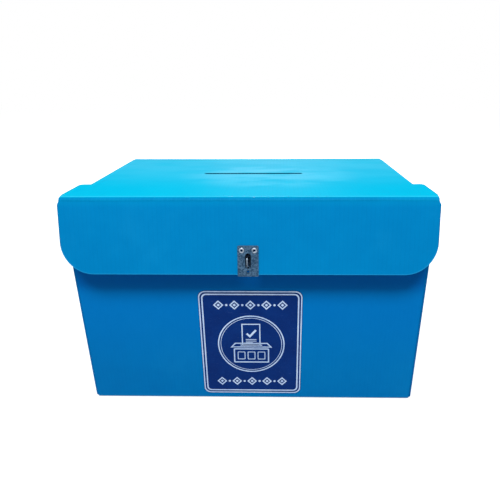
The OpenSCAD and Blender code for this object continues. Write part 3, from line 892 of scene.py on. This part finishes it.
# %% Rivets on the hasp
HEAD, HEAD_UP, SHANK, HOLLOW = 3.2, 1.2, 2.0, 1.25
WASHER_T = 0.8
back_end = -(HASP_T + SHEET / mm + WASHER_T)
rolled_head = ([(HEAD - 0.5 + 0.5 * math.cos(math.radians(a)), 0.45 + 0.45 * math.sin(math.radians(a)))
                for a in range(-90, 91, 18)]
               + [(2.25, 1.12), (1.85, HEAD_UP), (1.5, 1.05), (1.3, 0.7), (HOLLOW, 0.2)])
set_end = [(HOLLOW, back_end - 0.6), (1.5, back_end - 0.95), (2.1, back_end - 1.0), (2.5, back_end - 0.7),
           (2.6, back_end - 0.05), (SHANK, back_end), (SHANK, 0.0)]
rivet_place = hasp_place @ Matrix.Translation((0, 0, HASP_T * mm))
rivets = turned("hasp_rolled_rivets", rolled_head + set_end, rivet_centres, rivet_place, bright_zinc)
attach(rivets, "flap")
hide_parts("hasp_rivets")
print("rivets turned:", len(rivet_centres))

# %% [markdown]
# ## The label
# A deep blue film with a double silver frame is stuck to the front. The printed shapes are thin inlays that
# lie on the film, so they stay sharp from any distance and need no picture file. The design is a plain one
# of its own: a paper with a tick drops into a slotted box inside a ring, with rows of lozenges above and
# below.

# %% Label materials
PRINT_WIDE = 0.03
PALE_SCRATCH = (0.45, 0.55, 0.72, 1)
FILM_BUMP, FILM_DEPTH = 0.2, 0.1 * mm


def label_material(name, deep, light, metal, rough, gloss):
    made, w, surface, position = start_material(name)
    surface.inputs["Specular IOR Level"].default_value = gloss
    surface.inputs["Metallic"].default_value = metal
    ribs = ribs_of(w, position, 0)
    cloud = place(w, uneven, {"Place": position, "Size": PRINT_WIDE})["Value"]
    marks = place(w, scuffs, {"Place": position})
    colour = w.blend(w.ramp(cloud, 0.3, 0.7), (*deep, 1), (*light, 1))
    colour = w.blend(w.math("MULTIPLY", marks["Scratches"], 0.10), colour, PALE_SCRATCH)
    roughness = w.math("MULTIPLY_ADD", cloud, 0.16, rough - 0.08)
    finish_colour(w, surface, colour, roughness, ribs["Height"], FILM_BUMP, FILM_DEPTH)
    return made


film = label_material("deep blue film", (0.001, 0.022, 0.150), (0.002, 0.031, 0.190), 0.0, 0.4, 0.05)
silver = label_material("silver print", (0.40, 0.56, 0.84), (0.62, 0.78, 1.0), 0.1, 0.38, 0.12)

# %% [markdown]
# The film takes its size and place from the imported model's label. Everything printed lies on its face, and
# the two lines of the frame follow its outline further in.

# %% The film and its frame
label_low, label_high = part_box("label")
LABEL_W, LABEL_H = (label_high.x - label_low.x) / mm, (label_high.z - label_low.z) / mm
LABEL_CORNER = 9.0
FILM_T, FILM_EDGE = 0.28, 0.08
PRINT_T, PRINT_EDGE = 0.06, 0.012
label_middle = Vector(((label_low.x + label_high.x) / 2, label_high.y, (label_low.z + label_high.z) / 2))
label_place = Matrix.Translation(label_middle) @ upright
print_place = label_place @ Matrix.Translation((0, 0, FILM_T * mm))

film_loop = round_box(LABEL_W, LABEL_H, LABEL_CORNER)
label_film = flat_piece("label_film", [film_loop], FILM_T, FILM_EDGE, label_place, film)
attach(label_film, "root")
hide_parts("label")


def printed(name, loops):
    made = flat_piece("label_" + name, loops, PRINT_T, PRINT_EDGE, print_place, silver)
    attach(made, "root")


def frame_line(inset, width):
    """A line that follows the film's outline. Its corners grow tighter the further in it lies."""
    return [round_box(LABEL_W - 2 * far, LABEL_H - 2 * far, LABEL_CORNER - 0.7 * far)
            for far in (inset, inset + width)]


printed("outer_frame", frame_line(0.6, 1.5))
printed("inner_frame", frame_line(4.2, 1.7))
print("label", round(LABEL_W), "by", round(LABEL_H), "mm")

# %% [markdown]
# A ring is a round outline with a smaller one as its hole, and a lozenge is a square that stands on its
# point. Rows of such plain shapes are drawn by a loop.

# %% The rings and the rows of lozenges
RING_R, RING_STEPS = 43.0, 96
ROW_UP, LOZENGE_PITCH, LOZENGES = 58.0, 20.0, 5
LOZENGE, LOZENGE_HOLE, LOZENGE_HEART, DOT_R = 13, 8.5, 4.2, 1.5


def band(inset, width):
    return [ring(0, 0, RING_R - far, RING_STEPS) for far in (inset, inset + width)]


def lozenge(x, y, size):
    return [(x + size / 2, y), (x, y + size / 2), (x - size / 2, y), (x, y - size / 2)]


printed("ring", band(0.0, 1.6))
printed("thin_ring", band(3.4, 0.7))
for name, height in (("upper", ROW_UP), ("lower", -ROW_UP)):
    for i in range(LOZENGES):
        x = (i - (LOZENGES - 1) / 2) * LOZENGE_PITCH
        printed(f"{name}_lozenge_{i}", [lozenge(x, height, LOZENGE), lozenge(x, height, LOZENGE_HOLE)])
        printed(f"{name}_lozenge_heart_{i}", [lozenge(x, height, LOZENGE_HEART)])
    for i in range(LOZENGES - 1):
        x = (i - (LOZENGES - 2) / 2) * LOZENGE_PITCH
        printed(f"{name}_dot_{i}", [ring(x, height, DOT_R, 20)])
print("lozenges printed:", 2 * LOZENGES)

# %% [markdown]
# The picture in the ring is drawn in outlines: a box with three panels, a lid that narrows upwards, a slot,
# and a paper that carries a tick and three plain bars.

# %% The box and the paper in the ring
BOX_W, BOX_H, BOX_UP, BOX_LINE = 46.0, 22.0, -17.0, 1.6
PANELS, PANEL_PITCH = 3, 13.0


def tapered(bottom, top, low, high):
    """Four corners: half the width below, half the width above, and the two heights."""
    return [(-bottom, low), (bottom, low), (top, high), (-top, high)]


printed("box_front", [round_box(BOX_W, BOX_H, 1.5, 0, BOX_UP),
                      round_box(BOX_W - 2 * BOX_LINE, BOX_H - 2 * BOX_LINE, 0.8, 0, BOX_UP)])
printed("box_lid", [tapered(27, 21, -4.5, 2.5), tapered(24.2, 20.0, -3.1, 1.1)])
printed("box_slot", [round_box(28, 1.5, 0.7, 0, -1.0)])
printed("paper", [tapered(12, 12, -1, 31), tapered(10.6, 10.6, 0.2, 29.6)])
printed("tick", [[(-6.5, 15.5), (-4.6, 17.4), (-1.6, 14.4), (5.4, 22.6), (7.4, 20.9), (-1.5, 10.4)]])
for i, half in enumerate((7.0, 7.0, 4.5)):
    printed(f"paper_line_{i}", [round_box(2 * half, 0.9, 0.4, half - 7.0, 7.6 - 2.4 * i)])
for i in range(PANELS):
    x = (i - (PANELS - 1) / 2) * PANEL_PITCH
    printed(f"box_panel_{i}", [round_box(10, 12, 1.2, x, BOX_UP), round_box(8, 10, 0.7, x, BOX_UP)])

# %% [markdown]
# ## Light and floor
# A studio for a plain product picture: a large soft lamp high in front, a weaker one from each side and from
# behind, and a world that adds an even glow. The rear lamp stands low, because a high one would mirror in
# the lid. A colour should come out about as it is written, so the lamps stay modest. The white around the
# box is no extra light: rays from the camera, and rays that bounce off shiny things, see a floor and a world
# that glow white, and all others see a weaker grey. The floor lies a hair below the box, so that the two
# never share a face.

# %% Floor
FLOOR_HALF = 6.0
FLOOR_DOWN = 0.2 * mm
GLOW_NEAR, GLOW_FAR = 0.66, 0.88


def seen_rays(w):
    """One for rays from the camera and those that shiny or clear things send on, and nought for others."""
    paths = w.node("ShaderNodeLightPath").outputs
    seen = w.math("MAXIMUM", paths["Is Camera Ray"], paths["Is Glossy Ray"])
    return w.math("MAXIMUM", seen, paths["Is Transmission Ray"])


floor_mesh = bpy.data.meshes.new("floor")
floor_corners = [(x * FLOOR_HALF, y * FLOOR_HALF, 0) for x, y in ((-1, -1), (1, -1), (1, 1), (-1, 1))]
floor_mesh.from_pydata(floor_corners, [], [(0, 1, 2, 3)])
floor = bpy.data.objects.new("floor", floor_mesh)
bpy.context.scene.collection.objects.link(floor)
floor.location.z = -FLOOR_DOWN
floor_paint, w, surface, position = start_material("pale floor")
surface.inputs["Specular IOR Level"].default_value = 0.0
surface.inputs["Roughness"].default_value = 0.9
grain = w.ramp(w.noise(position, 60.0, 3.0), 0.3, 0.7)
w.put(surface.inputs["Base Color"], w.blend(grain, (0.50, 0.50, 0.50, 1), (0.52, 0.52, 0.52, 1)))
surface.inputs["Emission Color"].default_value = (1, 1, 1, 1)
sideways, backwards, _ = w.split(position)
glow = w.ramp(w.length(sideways, backwards), 0.35, 1.3, GLOW_NEAR, GLOW_FAR)
w.put(surface.inputs["Emission Strength"], w.math("MULTIPLY", seen_rays(w), glow))
give(floor, floor_paint)

# %% [markdown]
# The world has two strengths: what is seen of it is white, and what it adds as light is weak. The lamps are
# large and soft, and all of them aim at one point inside the box.

# %% World and lamps
WORLD_SEEN, WORLD_LIGHT = 1.0, 0.22
LAMP_AIM = Vector((0, 0, 0.15))

world = bpy.data.worlds.new("studio")
bpy.context.scene.world = world
world.use_nodes = True
world.node_tree.nodes.clear()
w = Wiring(world.node_tree)
strength = w.math("MULTIPLY_ADD", seen_rays(w), WORLD_SEEN - WORLD_LIGHT, WORLD_LIGHT)
background = w.node("ShaderNodeBackground", {"Color": (1, 1, 1, 1), "Strength": strength})
w.put(w.node("ShaderNodeOutputWorld").inputs["Surface"], background.outputs[0])


def soft_lamp(name, place_at, wide, high, watts):
    data = bpy.data.lights.new(name, "AREA")
    data.shape, data.size, data.size_y, data.energy = "ELLIPSE", wide, high, watts
    lamp = bpy.data.objects.new(name, data)
    bpy.context.scene.collection.objects.link(lamp)
    lamp.location = place_at
    lamp.rotation_mode = "QUATERNION"
    lamp.rotation_quaternion = (LAMP_AIM - Vector(place_at)).to_track_quat("-Z", "Y")
    print(name, watts, "W")


soft_lamp("high_lamp", (0.0, -1.15, 1.95), 1.5, 0.6, 45.0)
soft_lamp("left_lamp", (-1.7, 0.3, 0.7), 0.7, 0.7, 10.0)
soft_lamp("right_lamp", (1.7, 0.3, 0.7), 0.7, 0.7, 10.0)
soft_lamp("rear_lamp", (0.0, 1.9, 0.4), 0.7, 0.7, 20.0)
bpy.context.scene.view_settings.view_transform = "Standard"
